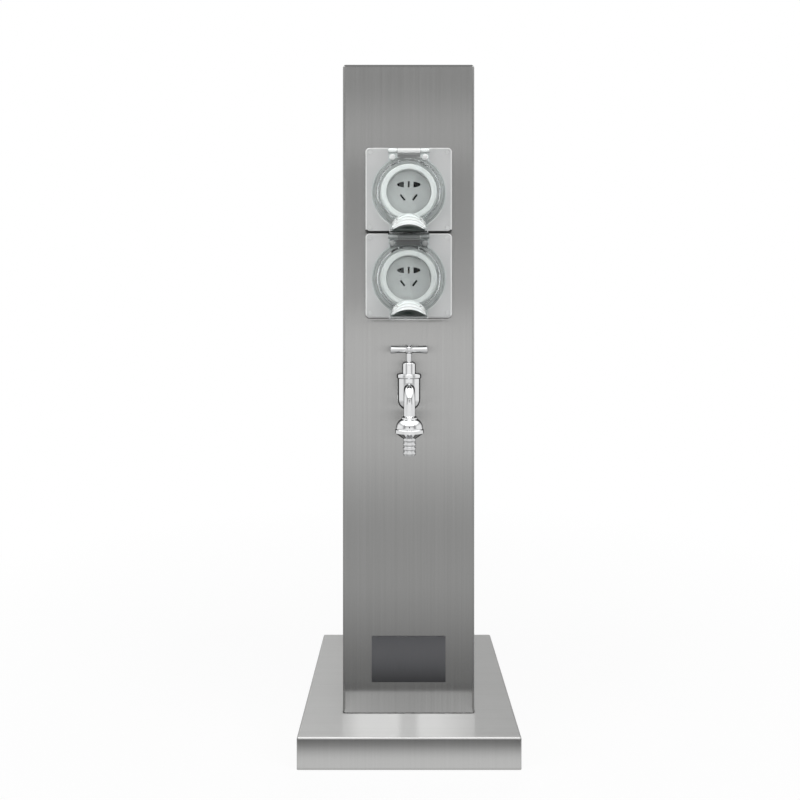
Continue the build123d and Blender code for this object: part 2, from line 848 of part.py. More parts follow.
# Bonnet: a plug in the chamber, a rounded flange on it and a neck for the gland nut
bonnet_top = barrel_body_top + bonnet_flange_height
with BuildPart() as bonnet:
    with BuildSketch(upright_plane(spindle_out)):
        with BuildLine():
            Polyline(
                (spindle_thread_radius + running_gap, barrel_body_top - bonnet_plug_depth),
                (chamber_radius - running_gap, barrel_body_top - bonnet_plug_depth),
                (chamber_radius - running_gap, barrel_body_top),
                (bonnet_flange_radius, barrel_body_top),
                (bonnet_flange_radius, bonnet_top),
                (bonnet_neck_radius, bonnet_top),
                (bonnet_neck_radius, bonnet_top + bonnet_neck_height),
                (spindle_thread_radius + running_gap, bonnet_top + bonnet_neck_height),
                close=True,
            )
        make_face()
    revolve(axis=upright_axis(spindle_out))
    flange_edges = bonnet.edges().filter_by(GeomType.CIRCLE).group_by(SortBy.RADIUS)[-1]
    fillet(flange_edges, bonnet_round)
save(bonnet, "bonnet")

# Gland nut over the bonnet's neck, domed at the top, with the packing under it
gland_roof = bonnet_top + gland_height - gland_top
with BuildPart() as gland_nut:
    with BuildSketch(upright_plane(spindle_out)):
        with BuildLine():
            Polyline(
                (gland_radius - gland_wall, bonnet_top),
                (gland_radius, bonnet_top),
                (gland_radius, bonnet_top + gland_height),
                (stem_radius + running_gap, bonnet_top + gland_height),
                (stem_radius + running_gap, gland_roof),
                (gland_radius - gland_wall, gland_roof),
                close=True,
            )
        make_face()
    revolve(axis=upright_axis(spindle_out))
    rim_edges = gland_nut.edges().filter_by(GeomType.CIRCLE).group_by(Axis.Z)[-1]
    fillet(rim_edges.sort_by(SortBy.RADIUS)[-1], gland_round)
save(gland_nut, "gland_nut")
with BuildPart() as gland_packing:
    with BuildSketch(Plane.XY.offset(bonnet_top + bonnet_neck_height)):
        with Locations((0, column_front - spindle_out)):
            Circle(gland_radius - gland_wall - packing_gap)
            Circle(stem_radius + running_gap, mode=Mode.SUBTRACT)
    extrude(amount=gland_roof - bonnet_top - bonnet_neck_height)
save(gland_packing, "gland_packing")

# Valve washer and jumper, which rise off the seat
with BuildPart() as valve_washer:
    with BuildSketch(Plane.XY.offset(seat_height)):
        with Locations((0, column_front - spindle_out)):
            Circle(valve_washer_radius)
    extrude(amount=valve_washer_thickness)
save(valve_washer, "valve_washer")
jumper_foot = seat_height + valve_washer_thickness
jumper_top = jumper_foot + jumper_thickness
with BuildPart() as jumper_valve:
    with BuildSketch(Plane.XY.offset(jumper_foot)):
        with Locations((0, column_front - spindle_out)):
            Circle(jumper_radius)
    extrude(amount=jumper_thickness)
save(jumper_valve, "jumper_valve")

# Spindle: the threaded part in the bonnet, and the stem up into the handle's hub
spindle_thread_top = barrel_body_top + spindle_thread_rise
with BuildPart() as spindle:
    with BuildSketch(upright_plane(spindle_out)):
        with BuildLine():
            Polyline(
                (0, jumper_top),
                (spindle_thread_radius, jumper_top),
                (spindle_thread_radius, spindle_thread_top),
                (stem_radius, spindle_thread_top),
                (stem_radius, handle_height),
                (0, handle_height),
                close=True,
            )
        make_face()
    revolve(axis=upright_axis(spindle_out))
save(spindle, "spindle")

# Handle: a ball hub with two arms that swell towards their tips
with BuildPart() as tee_handle:
    with BuildSketch(front_plane(handle_height, spindle_out)):
        with BuildLine():
            Line((-bar_length / 2, 0), (bar_length / 2, 0))
            Line((bar_length / 2, 0), (bar_length / 2, bar_tip_radius))
            Line((bar_length / 2, bar_tip_radius), (0, bar_neck_radius))
            Line((0, bar_neck_radius), (-bar_length / 2, bar_tip_radius))
            Line((-bar_length / 2, bar_tip_radius), (-bar_length / 2, 0))
        make_face()
    revolve(axis=Axis((0, column_front - spindle_out, handle_height), (1, 0, 0)))
    fillet(tee_handle.edges().filter_by(GeomType.CIRCLE).group_by(Axis.X)[0], bar_tip_round)
    fillet(tee_handle.edges().filter_by(GeomType.CIRCLE).group_by(Axis.X)[-1], bar_tip_round)
    with Locations((0, column_front - spindle_out, handle_height)):
        Sphere(hub_radius)
    hub_top = Plane.XY.offset(handle_height + hub_flat)
    with BuildSketch(hub_top):
        with Locations((0, column_front - spindle_out)):
            Circle(hub_radius)
    extrude(amount=hub_radius, mode=Mode.SUBTRACT)
    with BuildSketch(Plane.XY.offset(handle_height - hub_radius - overrun)):
        with Locations((0, column_front - spindle_out)):
            Circle(stem_radius)
    extrude(amount=hub_radius + overrun, mode=Mode.SUBTRACT)
    with BuildSketch(Plane.XY.offset(handle_height)):
        with Locations((0, column_front - spindle_out)):
            Circle(handle_screw_radius + running_gap)
    extrude(amount=hub_radius, mode=Mode.SUBTRACT)
save(tee_handle, "tee_handle")
with BuildPart() as handle_screw:
    with BuildSketch(Plane.XY.offset(handle_height + hub_flat - handle_screw_reach)):
        with Locations((0, column_front - spindle_out)):
            Circle(handle_screw_radius)
    extrude(amount=handle_screw_reach)
    with BuildSketch(hub_top):
        with Locations((0, column_front - spindle_out)):
            Circle(handle_screw_head)
    extrude(amount=handle_screw_head_height)
    chamfer(handle_screw.edges().group_by(Axis.Z)[-1], handle_screw_chamfer)
save(handle_screw, "handle_screw")

# Hose nut on the outlet's thread, holding the hose tail by its flange
with BuildPart() as hose_nut:
    with BuildSketch(upright_plane(spout_out)):
        with BuildLine():
            Polyline(
                (outlet_thread_radius + running_gap, nut_top),
                (nut_radius - nut_top_chamfer, nut_top),
                (nut_radius, nut_top - nut_top_chamfer),
                (nut_radius, nut_band_bottom),
                (nut_foot_radius, nut_bottom),
                (tail_root_radius + running_gap, nut_bottom),
                (tail_root_radius + running_gap, nut_seat),
                (outlet_thread_radius + running_gap, nut_seat),
                close=True,
            )
        make_face()
    revolve(axis=upright_axis(spout_out))
save(hose_nut, "hose_nut")

# Hose tail: a ribbed tube, each ridge tapered towards the free end with a short land on top
ridge_pitch = tail_length / ridge_count
tail_outline = [(tail_bore, tail_end)]
for ridge in range(ridge_count):
    ridge_foot = tail_end + ridge * ridge_pitch
    ridge_top = ridge_foot + ridge_taper + ridge_land
    tail_outline += [
        (tail_root_radius, ridge_foot),
        (tail_ridge_radius, ridge_foot + ridge_taper),
        (tail_ridge_radius, ridge_top),
        (tail_root_radius, ridge_top),
    ]
tail_outline += [
    (tail_root_radius, nut_seat),
    (tail_flange_radius, nut_seat),
    (tail_flange_radius, tail_flange_top),
    (tail_bore, tail_flange_top),
]
with BuildPart() as hose_tail:
    with BuildSketch(upright_plane(spout_out)):
        with BuildLine():
            Polyline(*tail_outline, close=True)
        make_face()
    revolve(axis=upright_axis(spout_out))
save(hose_tail, "hose_tail")
with BuildPart() as tail_washer:
    with BuildSketch(Plane.XY.offset(tail_flange_top)):
        with Locations((0, column_front - spout_out)):
            Circle(tail_flange_radius)
            Circle(tail_bore, mode=Mode.SUBTRACT)
    extrude(amount=tail_washer_thickness)
save(tail_washer, "tail_washer")

# Elbow on the shank's inner end, turning down to the riser
elbow_mouth = -shank_reach + elbow_socket_depth
riser_top = tap_height - elbow_leg + riser_socket_depth
with BuildPart() as supply_elbow:
    with BuildSketch(front_plane(tap_height, elbow_out)):
        Circle(elbow_radius)
    extrude(amount=elbow_mouth - elbow_out)
    with BuildSketch(Plane.XY.offset(tap_height)):
        with Locations((0, riser_y)):
            Circle(elbow_radius)
    extrude(amount=-elbow_leg)
    with Locations((0, riser_y, tap_height)):
        Sphere(elbow_radius)
    with BuildSketch(front_plane(tap_height, elbow_mouth + overrun)):
        Circle(shank_radius + running_gap)
    extrude(amount=-elbow_socket_depth - overrun, mode=Mode.SUBTRACT)
    with BuildSketch(front_plane(tap_height, elbow_mouth)):
        Circle(riser_bore)
    extrude(amount=elbow_out - elbow_mouth, mode=Mode.SUBTRACT)
    with BuildSketch(Plane.XY.offset(tap_height)):
        with Locations((0, riser_y)):
            Circle(riser_bore)
    extrude(amount=-elbow_leg - overrun, mode=Mode.SUBTRACT)
    with BuildSketch(Plane.XY.offset(riser_top)):
        with Locations((0, riser_y)):
            Circle(riser_radius + running_gap)
    extrude(amount=-riser_socket_depth - overrun, mode=Mode.SUBTRACT)
save(supply_elbow, "supply_elbow")

# Inlet nipple at the foot and the riser pipe that stands in it
inlet_hex_foot = inlet_bottom + inlet_thread_length
riser_foot = inlet_hex_foot + inlet_hex_height
with BuildPart() as inlet_nipple:
    with BuildSketch(Plane.XY.offset(inlet_bottom)):
        with Locations((0, riser_y)):
            Circle(shank_radius)
    extrude(amount=inlet_thread_length)
    with BuildSketch(Plane.XY.offset(inlet_hex_foot)):
        with Locations((0, riser_y)):
            RegularPolygon(inlet_hex_radius, hexagon_sides)
    extrude(amount=inlet_hex_height)
    with BuildSketch(Plane.XY.offset(riser_foot)):
        with Locations((0, riser_y)):
            Circle(inlet_socket_radius)
            Circle(riser_radius + running_gap, mode=Mode.SUBTRACT)
    extrude(amount=inlet_socket_height)
    with BuildSketch(Plane.XY.offset(inlet_bottom - overrun)):
        with Locations((0, riser_y)):
            Circle(riser_bore)
    extrude(amount=riser_foot - inlet_bottom + 2 * overrun, mode=Mode.SUBTRACT)
save(inlet_nipple, "inlet_nipple")
with BuildPart() as riser_pipe:
    with BuildSketch(Plane.XY.offset(riser_foot)):
        with Locations((0, riser_y)):
            Circle(riser_radius)
            Circle(riser_bore, mode=Mode.SUBTRACT)
    extrude(amount=riser_top - riser_foot)
save(riser_pipe, "riser_pipe")

# Pipe clip: a ring on a stem, spot welded inside the front wall
stem_length = riser_y + inside_half
with BuildPart() as pipe_clip:
    with BuildSketch(Plane.XY.offset(clip_height)):
        with Locations((0, riser_y)):
            Circle(riser_radius + running_gap + clip_wall)
        with Locations((0, riser_y - stem_length / 2)):
            Rectangle(clip_stem_thickness, stem_length)
        with Locations((0, clip_foot_thickness / 2 - inside_half)):
            Rectangle(clip_foot_width, clip_foot_thickness)
        with Locations((0, riser_y)):
            Circle(riser_radius + running_gap, mode=Mode.SUBTRACT)
    extrude(amount=clip_width)
save(pipe_clip, "pipe_clip")
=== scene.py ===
import math

import bmesh
import bpy
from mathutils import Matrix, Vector


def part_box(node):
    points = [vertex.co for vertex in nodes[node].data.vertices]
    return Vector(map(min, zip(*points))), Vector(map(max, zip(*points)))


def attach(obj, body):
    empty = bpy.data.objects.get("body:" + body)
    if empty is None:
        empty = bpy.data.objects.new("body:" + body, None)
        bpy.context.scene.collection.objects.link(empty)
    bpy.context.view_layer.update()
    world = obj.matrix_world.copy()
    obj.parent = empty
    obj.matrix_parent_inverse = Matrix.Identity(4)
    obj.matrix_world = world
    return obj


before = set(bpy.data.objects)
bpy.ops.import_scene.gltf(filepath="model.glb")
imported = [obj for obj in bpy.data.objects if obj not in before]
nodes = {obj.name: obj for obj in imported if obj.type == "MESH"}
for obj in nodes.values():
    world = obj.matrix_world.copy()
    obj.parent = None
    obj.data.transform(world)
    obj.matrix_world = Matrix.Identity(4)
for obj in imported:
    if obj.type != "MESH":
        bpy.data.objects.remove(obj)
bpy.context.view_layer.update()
units = ("upper", "lower")
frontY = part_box("column_shell")[0].y  # the column's front face
print("frame in place:", len(nodes), "nodes")


# Shader nodes. Each input is a plain value or another node's socket
def addNode(tree, kind, inputs=None, **settings):
    made = tree.nodes.new(kind)
    for key, value in settings.items():
        setattr(made, key, value)
    for key, value in (inputs or {}).items():
        if isinstance(value, bpy.types.NodeSocket):
            tree.links.new(value, made.inputs[key])
        else:
            made.inputs[key].default_value = value
    return made


def startFinish(name):
    material = bpy.data.materials.new(name)
    material.use_nodes = True
    material.node_tree.nodes.clear()
    return material, material.node_tree


def showSurface(tree, surface):
    addNode(tree, "ShaderNodeOutputMaterial", {"Surface": surface})


# further values go on the sockets that their names say, with _ for a space
def solidShader(tree, colour, roughness, normal=None, **values):
    inputs = {"Base Color": colour, "Roughness": roughness}
    if normal is not None:
        inputs["Normal"] = normal
    inputs.update({key.replace("_", " "): value for key, value in values.items()})
    return addNode(tree, "ShaderNodeBsdfPrincipled", inputs).outputs[0]


def glowShader(tree, strength):
    return addNode(tree, "ShaderNodeEmission", {"Strength": strength}).outputs[0]


def mixShaders(tree, amount, first, second):
    return addNode(tree, "ShaderNodeMixShader", {0: amount, 1: first, 2: second}).outputs[0]


def objectPlace(tree, scale=(1, 1, 1)):
    place = addNode(tree, "ShaderNodeTexCoord").outputs["Object"]
    return addNode(tree, "ShaderNodeMapping", {"Vector": place, "Scale": scale}).outputs[0]


def partOf(tree, vector, axis):
    return addNode(tree, "ShaderNodeSeparateXYZ", {0: vector}).outputs[axis]


def surfaceNormal(tree):
    return addNode(tree, "ShaderNodeNewGeometry").outputs["Normal"]


def noiseAt(tree, place, detail=2.0, roughness=0.5, scale=1.0):
    inputs = {"Vector": place, "Scale": scale, "Detail": detail, "Roughness": roughness}
    return addNode(tree, "ShaderNodeTexNoise", inputs).outputs["Fac"]


def mathOf(tree, operation, *values):
    return addNode(tree, "ShaderNodeMath", dict(enumerate(values)), operation=operation).outputs[0]


# sum of values, each times its share
def weigh(tree, *pairs):
    total = None
    for value, share in pairs:
        part = mathOf(tree, "MULTIPLY", value, share)
        total = part if total is None else mathOf(tree, "ADD", total, part)
    return total


def rangeOf(tree, value, toMin, toMax, fromMin=0.0, fromMax=1.0):
    inputs = {"Value": value, "From Min": fromMin, "From Max": fromMax, "To Min": toMin, "To Max": toMax}
    return addNode(tree, "ShaderNodeMapRange", inputs).outputs[0]


noiseSpan = (0.3, 0.7)  # where most of a noise lies


def evenOut(tree, noise):
    return rangeOf(tree, noise, 0.0, 1.0, *noiseSpan)


# the sockets of a mix node's two ends and its result, for each kind of data
mixSockets = {"RGBA": (6, 7, 2), "VECTOR": (4, 5, 1)}


def mixOf(tree, kind, amount, first, second):
    low, high, result = mixSockets[kind]
    inputs = {0: amount, low: first, high: second}
    return addNode(tree, "ShaderNodeMix", inputs, data_type=kind).outputs[result]


def tintBetween(tree, amount, dark, light):
    return mixOf(tree, "RGBA", amount, (*dark, 1), (*light, 1))


def tintWhere(tree, amount, colour, tone):
    return mixOf(tree, "RGBA", amount, colour, (*tone, 1))


def bumpFrom(tree, height, strength, distance):
    inputs = {"Height": height, "Strength": strength, "Distance": distance}
    return addNode(tree, "ShaderNodeBump", inputs).outputs[0]


# rays that show a surface as it is, against those that only carry light
def seenRays(tree):
    path = addNode(tree, "ShaderNodeLightPath").outputs
    seen = mathOf(tree, "MAXIMUM", path["Is Camera Ray"], path["Is Glossy Ray"])
    return mathOf(tree, "MAXIMUM", seen, path["Is Transmission Ray"])


# Brushed stainless, with its grain up the upright faces and across the level ones
brushedSteels = {
    "columnBrushed": {"dark": (0.332, 0.332, 0.327), "light": (0.388, 0.388, 0.383),
                      "roughness": (0.2, 0.25), "spread": 0.96},
    "coverBrushed": {"dark": (0.40, 0.40, 0.395), "light": (0.45, 0.45, 0.445),
                     "roughness": (0.27, 0.35), "spread": 0.9},
}
# each size is how close the scratches lie across and along, per metre, and their share
scratches = {"sizes": ((420, 2.2, 0.38), (1300, 7, 0.37), (5200, 40, 0.25)), "detail": 3.0,
             "cloudScale": 9.0, "cloudShare": 0.2, "flatFrom": 0.7, "bump": (0.12, 0.00006)}


def brushedSteel(name, steel):
    material, tree = startFinish(name)
    rise = mathOf(tree, "ABSOLUTE", partOf(tree, surfaceNormal(tree), "Z"))
    level = mathOf(tree, "GREATER_THAN", rise, scratches["flatFrom"])
    layers = []
    for across, along, share in scratches["sizes"]:
        upright = objectPlace(tree, (across, across, along))
        flat = objectPlace(tree, (along, across, across))
        place = mixOf(tree, "VECTOR", level, upright, flat)
        layers.append((noiseAt(tree, place, scratches["detail"]), share))
    grain = weigh(tree, *layers)
    sharp = evenOut(tree, grain)
    cloudy = noiseAt(tree, objectPlace(tree), scale=scratches["cloudScale"])
    shade = weigh(tree, (sharp, 1 - scratches["cloudShare"]), (cloudy, scratches["cloudShare"]))
    # scratches spread the light across themselves
    around = addNode(tree, "ShaderNodeTangent", direction_type="RADIAL", axis="Z").outputs[0]
    showSurface(tree, solidShader(
        tree, tintBetween(tree, shade, steel["dark"], steel["light"]),
        rangeOf(tree, sharp, *steel["roughness"]), bumpFrom(tree, grain, *scratches["bump"]),
        Metallic=1.0, Anisotropic=steel["spread"],
        Tangent=mixOf(tree, "VECTOR", level, around, (0, 1, 0))))
    return material


# Plated and bare metals: cloud is how close the cloudy marks lie, bump how deep they are
castMetals = {
    "chromePlate": {"dark": (0.63, 0.635, 0.64), "light": (0.72, 0.725, 0.73),
                    "roughness": (0.035, 0.09), "cloud": 60.0, "bump": 0.000008},
    "brassBare": {"dark": (0.55, 0.38, 0.15), "light": (0.74, 0.55, 0.25),
                  "roughness": (0.25, 0.42), "cloud": 90.0, "bump": 0.00003},
    # contacts: dark bronze, made darker still as a painted shade in the slots
    "bronzeSlotShade": {"dark": (0.05, 0.032, 0.016), "light": (0.11, 0.075, 0.04),
                   "roughness": (0.35, 0.5), "cloud": 90.0, "bump": 0.00003},
    "zincSteel": {"dark": (0.30, 0.31, 0.32), "light": (0.44, 0.45, 0.46),
                  "roughness": (0.35, 0.55), "cloud": 45.0, "bump": 0.00003},
    "smallSteel": {"dark": (0.45, 0.45, 0.45), "light": (0.58, 0.58, 0.575),
                   "roughness": (0.2, 0.34), "cloud": 90.0, "bump": 0.00003},
}
metalMarks = {"cloudDetail": 3.0, "wearDetail": 4.0, "wearRoughness": 0.65, "wearScale": 600.0,
              "wearShare": 0.4, "bump": 0.1}


def castMetal(name, metal):
    material, tree = startFinish(name)
    clouds = noiseAt(tree, objectPlace(tree), metalMarks["cloudDetail"], scale=metal["cloud"])
    wear = noiseAt(tree, objectPlace(tree), metalMarks["wearDetail"], metalMarks["wearRoughness"],
                   metalMarks["wearScale"])
    both = weigh(tree, (clouds, 1 - metalMarks["wearShare"]), (wear, metalMarks["wearShare"]))
    even = evenOut(tree, both)
    showSurface(tree, solidShader(
        tree, tintBetween(tree, even, metal["dark"], metal["light"]),
        rangeOf(tree, even, *metal["roughness"]), bumpFrom(tree, both, metalMarks["bump"], metal["bump"]),
        Metallic=1.0))
    return material


# Satin lacquer with a painted sheen, palest above the middle of the plate: bow is how far round
# the painted shading goes
lacquer = {"dark": (0.006, 0.0065, 0.008), "light": (0.088, 0.089, 0.096), "roughness": (0.32, 0.42),
           "coat": 0.25, "coatRoughness": 0.2, "grain": (2600, 2600, 60), "grainShare": 0.2, "bow": 2.3,
           "bump": (0.15, 0.00004)}


def satinLacquer(name):
    material, tree = startFinish(name)
    low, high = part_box("nameplate")
    height = partOf(tree, addNode(tree, "ShaderNodeTexCoord").outputs["Object"], "Z")
    rise = rangeOf(tree, height, 0.0, 1.0, low.z, high.z)
    # painted sheen, shaded by height up the plate
    paintedSheen = mathOf(tree, "SINE", mathOf(tree, "MULTIPLY", rise, lacquer["bow"]))
    grain = noiseAt(tree, objectPlace(tree, lacquer["grain"]))
    shade = weigh(tree, (paintedSheen, 1 - lacquer["grainShare"]), (grain, lacquer["grainShare"]))
    showSurface(tree, solidShader(
        tree, tintBetween(tree, shade, lacquer["dark"], lacquer["light"]),
        rangeOf(tree, grain, *lacquer["roughness"]), bumpFrom(tree, grain, *lacquer["bump"]),
        Coat_Weight=lacquer["coat"], Coat_Roughness=lacquer["coatRoughness"]))
    return material


# Moulded plastics and rubber. Painted light: corners that face up or sideways get a painted highlight,
# those that face down a painted shade (near black on the upper plate, as the narrow gap below it is dark),
# what stands out past proudFrom a painted highlight on the upper unit and a painted shade on the lower,
# and the slots' walls, further in than deepFrom, a painted shade
plastics = {
    "plateGrey": {"dark": (0.47, 0.48, 0.48), "light": (0.53, 0.535, 0.535), "roughness": (0.33, 0.42),
                  "skin": 0.00002, "edge": (0.86, 0.865, 0.86), "under": (0.012, 0.012, 0.012),
                  "proudHighlightAndShade": (0.86, 0.865, 0.86), "proudFrom": 0.0092},
    "capGrey": {"dark": (0.515, 0.525, 0.525), "light": (0.565, 0.572, 0.572), "roughness": (0.3, 0.4),
                "skin": 0.00002},
    "collarWhite": {"dark": (0.51, 0.513, 0.51), "light": (0.58, 0.58, 0.575), "roughness": (0.2, 0.28),
                    "skin": 0.00001},
    "collarShaded": {"dark": (0.43, 0.434, 0.43), "light": (0.50, 0.50, 0.495), "roughness": (0.2, 0.28),
                     "skin": 0.00001},
    "faceGrey": {"dark": (0.295, 0.298, 0.296), "light": (0.345, 0.347, 0.344), "roughness": (0.35, 0.48),
                 "skin": 0.00002, "deepShade": (0.006, 0.006, 0.006), "deepShadeFrom": 0.0083},
    "shutterDark": {"dark": (0.003, 0.003, 0.003), "light": (0.008, 0.008, 0.008), "roughness": (0.6, 0.75),
                    "skin": 0.00002, "gloss": 0.05},
    "housingBlack": {"dark": (0.02, 0.02, 0.021), "light": (0.045, 0.045, 0.046), "roughness": (0.4, 0.6),
                     "skin": 0.00003},
    "sealGrey": {"dark": (0.22, 0.223, 0.221), "light": (0.27, 0.273, 0.271), "roughness": (0.5, 0.65),
                 "skin": 0.00004},
    # painted shade in the hood's hollow
    "pullShade": {"dark": (0.004, 0.007, 0.006), "light": (0.02, 0.03, 0.026), "roughness": (0.08, 0.16),
                  "skin": 0.00001},
    # milky white, a painted highlight on the ribs, the lid's bright lines and the upper hinge
    "milkyHighlight": {"dark": (0.66, 0.672, 0.668), "light": (0.78, 0.788, 0.784), "roughness": (0.05, 0.12),
                  "skin": 0.00001},
    # painted highlight on the hood's dome
    "whiteHighlight": {"dark": (0.86, 0.872, 0.868), "light": (0.93, 0.935, 0.932), "roughness": (0.05, 0.12),
                  "skin": 0.00001},
    # painted shade on the lower hinge
    "hingeShadeGrey": {"dark": (0.16, 0.17, 0.168), "light": (0.34, 0.35, 0.345), "roughness": (0.05, 0.12),
                  "skin": 0.00001},
    # painted shade on the plate below the hinge, paler and darker
    "paleShade": {"dark": (0.20, 0.203, 0.203), "light": (0.30, 0.304, 0.304), "roughness": (0.4, 0.55),
                   "skin": 0.00003},
    "darkShade": {"dark": (0.06, 0.062, 0.062), "light": (0.12, 0.123, 0.123), "roughness": (0.4, 0.55),
                   "skin": 0.00003},
    "blackRubber": {"dark": (0.012, 0.012, 0.013), "light": (0.032, 0.032, 0.033), "roughness": (0.6, 0.8),
                    "skin": 0.00006, "speckle": 1500.0},
}
plastics["plateGreyLower"] = {**plastics["plateGrey"], "under": (0.5, 0.505, 0.505),
                              "proudHighlightAndShade": (0.15, 0.16, 0.158)}
# turned is how squarely a face looks to the front where it still gets the full painted highlight of a
# corner, and where it no longer does
moulding = {"flowScale": 35.0, "skinDetail": 3.0, "skinRoughness": 0.6, "skinScale": 2400.0,
            "skinShare": 0.35, "turned": (0.55, 0.95), "facesDown": -0.3, "bump": 0.2, "gloss": 0.5}


def mouldedPlastic(name, plastic):
    material, tree = startFinish(name)
    flow = noiseAt(tree, objectPlace(tree), scale=moulding["flowScale"])
    skin = noiseAt(tree, objectPlace(tree), moulding["skinDetail"], moulding["skinRoughness"],
                   plastic.get("speckle", moulding["skinScale"]))
    even = evenOut(tree, weigh(tree, (flow, 1 - moulding["skinShare"]), (skin, moulding["skinShare"])))
    colour = tintBetween(tree, even, plastic["dark"], plastic["light"])
    depth = partOf(tree, addNode(tree, "ShaderNodeTexCoord").outputs["Object"], "Y")
    # painted highlight on corners that face up or sideways, painted shade on those that face down, and a
    # painted tone on what stands out
    if "edge" in plastic:
        facing = addNode(tree, "ShaderNodeSeparateXYZ", {0: surfaceNormal(tree)}).outputs
        turned = rangeOf(tree, mathOf(tree, "ABSOLUTE", facing["Y"]), 1.0, 0.0, *moulding["turned"])
        notDown = mathOf(tree, "GREATER_THAN", facing["Z"], moulding["facesDown"])
        colour = tintWhere(tree, mathOf(tree, "MULTIPLY", turned, notDown), colour, plastic["edge"])
        down = mathOf(tree, "LESS_THAN", facing["Z"], moulding["facesDown"])
        colour = tintWhere(tree, down, colour, plastic["under"])
        proudHighlightAndShade = mathOf(tree, "LESS_THAN", depth, frontY - plastic["proudFrom"])
        colour = tintWhere(tree, proudHighlightAndShade, colour, plastic["proudHighlightAndShade"])
    # painted shade on the slots' walls
    if "deepShade" in plastic:
        deepShade = mathOf(tree, "GREATER_THAN", depth, frontY - plastic["deepShadeFrom"])
        colour = tintWhere(tree, deepShade, colour, plastic["deepShade"])
    showSurface(tree, solidShader(
        tree, colour, rangeOf(tree, even, *plastic["roughness"]),
        bumpFrom(tree, skin, moulding["bump"], plastic["skin"]),
        Specular_IOR_Level=plastic.get("gloss", moulding["gloss"])))
    return material


# Clear lid: lamps reach what is behind it
lidClear = {"tint": (0.93, 0.96, 0.955), "paler": 0.03, "roughness": (0.01, 0.05), "index": 1.49,
            "mirror": (0.4, 0.41, 0.41, 1), "lampTint": (0.9, 0.92, 0.92, 1), "skinScale": 260.0,
            "bump": (0.05, 0.00001)}


def clearPlastic(name):
    material, tree = startFinish(name)
    skin = noiseAt(tree, objectPlace(tree), scale=lidClear["skinScale"])
    pale = tuple(min(1.0, part + lidClear["paler"]) for part in lidClear["tint"])
    shader = solidShader(
        tree, tintBetween(tree, skin, lidClear["tint"], pale), rangeOf(tree, skin, *lidClear["roughness"]),
        bumpFrom(tree, skin, *lidClear["bump"]), IOR=lidClear["index"], Transmission_Weight=1.0,
        Specular_Tint=lidClear["mirror"])
    lampRay = addNode(tree, "ShaderNodeLightPath").outputs["Is Shadow Ray"]
    through = addNode(tree, "ShaderNodeBsdfTransparent", {"Color": lidClear["lampTint"]}).outputs[0]
    showSurface(tree, mixShaders(tree, lampRay, shader, through))
    return material


finishes = {"nameplateLacquer": satinLacquer("nameplateLacquer"), "lidClear": clearPlastic("lidClear")}
for make, kinds in ((brushedSteel, brushedSteels), (castMetal, castMetals), (mouldedPlastic, plastics)):
    finishes.update({name: make(name, kind) for name, kind in kinds.items()})
print("finishes made:", len(finishes))

# The CAD nodes that wear each finish, then those that both socket units have
wornBy = {
    "columnBrushed": "column_shell column_cap",
    "coverBrushed": "base_cover",
    "nameplateLacquer": "nameplate",
    "zincSteel": "foot_flange",
    "smallSteel": "earth_stud riser_pipe pipe_clip",
    "brassBare": "earth_nut tap_back_nut jumper_valve supply_elbow inlet_nipple",
    "chromePlate": "tap_body bonnet gland_nut spindle tee_handle handle_screw hose_nut hose_tail",
    "blackRubber": "tap_washer gland_packing valve_washer tail_washer",
}
unitFinish = {
    "frame_plate": "plateGrey", "plate_gasket": "blackRubber", "plate_screws": "capGrey",
    "collar": "collarWhite", "socket_insert": "faceGrey", "shutter": "shutterDark",
    "rear_housing": "housingBlack", "contact_set": "bronzeSlotShade", "terminal_screws": "brassBare",
    "lid_seal": "sealGrey", "hinge_pin": "smallSteel", "lid": "lidClear",
}
nodeFinish = {node: finish for finish, names in wornBy.items() for node in names.split()}
for unit in units:
    nodeFinish.update({f"{node}_{unit}": finish for node, finish in unitFinish.items()})
# the lower unit is in the shade of the upper lid
nodeFinish.update(frame_plate_lower="plateGreyLower", collar_lower="collarShaded")
for name, piece in nodes.items():
    piece.data.materials.clear()
    piece.data.materials.append(finishes[nodeFinish[name]])
print("nodes finished:", len(nodeFinish))


# Mesh tools. Out is the distance in front of the column's face, as in the CAD
def at(x, out, z):
    return Vector((x, frontY - out, z))


def between(ends, share):
    return ends[0] + (ends[1] - ends[0]) * share


def roundTurns(sides):
    return [2 * math.pi * step / sides for step in range(sides)]


def addObject(name, mesh, material):
    data = bpy.data.meshes.new(name)
    mesh.to_mesh(data)
    mesh.free()
    data.materials.append(material)
    made = bpy.data.objects.new(name, data)
    bpy.context.scene.collection.objects.link(made)
    return made


def addPiece(name, mesh, finish, body, smooth=True):
    bmesh.ops.recalc_face_normals(mesh, faces=mesh.faces)
    made = addObject(name, mesh, finishes[finish])
    for face in made.data.polygons:
        face.use_smooth = smooth
    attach(made, body)
    return made


def addLidPiece(kind, unit, mesh, finish):
    return addPiece(f"{kind}_{unit}", mesh, finish, f"lid_{unit}")


softening = {"segments": 3, "angle": 35.0}


def softenEdges(made, width):
    bevel = made.modifiers.new("soften", "BEVEL")
    bevel.width, bevel.segments, bevel.limit_method = width, softening["segments"], "ANGLE"
    bevel.angle_limit = math.radians(softening["angle"])
    bevel.harden_normals = True


def addRows(mesh, loops):
    return [[mesh.verts.new(point) for point in loop] for loop in loops]


# band of faces between two closed rows of equal length
def joinRows(mesh, low, high):
    for index in range(len(low)):
        following = (index + 1) % len(low)
        mesh.faces.new((low[index], low[following], high[following], high[index]))


# closed skin over loops, with both ends filled
def skinLoops(mesh, loops):
    rows = addRows(mesh, loops)
    for low, high in zip(rows, rows[1:]):
        joinRows(mesh, low, high)
    mesh.faces.new(rows[0])
    mesh.faces.new(reversed(rows[-1]))


